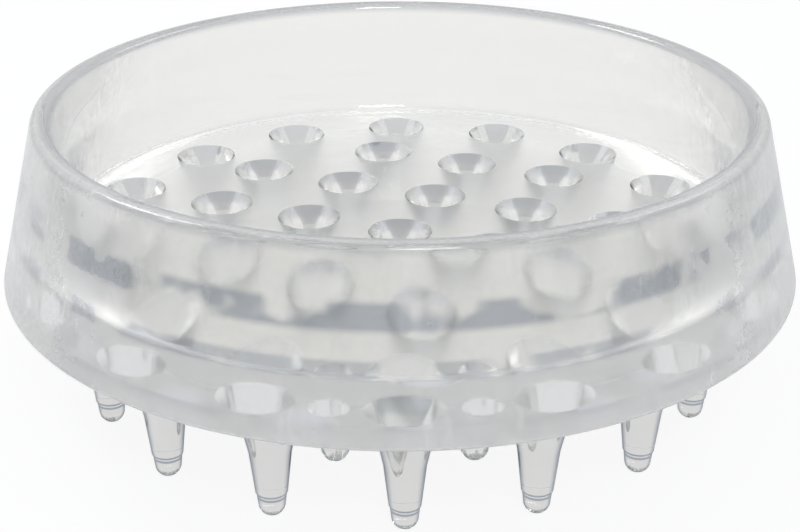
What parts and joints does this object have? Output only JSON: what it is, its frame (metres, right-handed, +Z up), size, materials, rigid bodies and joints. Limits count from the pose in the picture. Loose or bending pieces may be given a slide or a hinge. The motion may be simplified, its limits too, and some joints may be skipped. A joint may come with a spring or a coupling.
{
  "type": "spiked caster cup",
  "caption": "Round clear plastic caster cup with a flared wall, a flat floor for a furniture wheel or leg, and blunt spikes underneath that grip carpet.",
  "frame": {"origin": "middle of the cup, on the level of the outer spikes' tips, where it stands on a hard floor", "axes": "+Z up along the well's axis, out of its mouth; -Y towards the front spike, the one between the two short studs"},
  "size_m": [0.0558, 0.0558, 0.0207],
  "materials": {
    "clear_plastic": "clear, slightly milky moulded plastic with fine scuffs"
  },
  "bodies": {
    "root": {"rim_lip": "clear_plastic", "side_wall": "clear_plastic", "cup_floor": "clear_plastic", "centre_spike": "clear_plastic", "short_stud_left": "clear_plastic", "short_stud_right": "clear_plastic", "inner_spike_1": "clear_plastic", "inner_spike_2": "clear_plastic", "inner_spike_3": "clear_plastic", "inner_spike_4": "clear_plastic", "inner_spike_5": "clear_plastic", "inner_spike_6": "clear_plastic", "inner_spike_7": "clear_plastic", "inner_spike_8": "clear_plastic", "inner_spike_9": "clear_plastic", "inner_spike_10": "clear_plastic", "inner_spike_11": "clear_plastic", "inner_spike_12": "clear_plastic", "inner_spike_13": "clear_plastic", "inner_spike_14": "clear_plastic", "inner_spike_15": "clear_plastic", "inner_spike_16": "clear_plastic", "inner_spike_17": "clear_plastic", "inner_spike_18": "clear_plastic", "inner_spike_19": "clear_plastic", "inner_spike_20": "clear_plastic", "outer_spike_1": "clear_plastic", "outer_spike_2": "clear_plastic", "outer_spike_3": "clear_plastic", "outer_spike_4": "clear_plastic", "outer_spike_5": "clear_plastic", "outer_spike_6": "clear_plastic", "outer_spike_7": "clear_plastic", "outer_spike_8": "clear_plastic", "outer_spike_9": "clear_plastic", "outer_spike_10": "clear_plastic", "outer_spike_11": "clear_plastic", "outer_spike_12": "clear_plastic", "outer_spike_13": "clear_plastic", "outer_spike_14": "clear_plastic", "outer_spike_15": "clear_plastic", "outer_spike_16": "clear_plastic"}
  },
  "joints": []
}
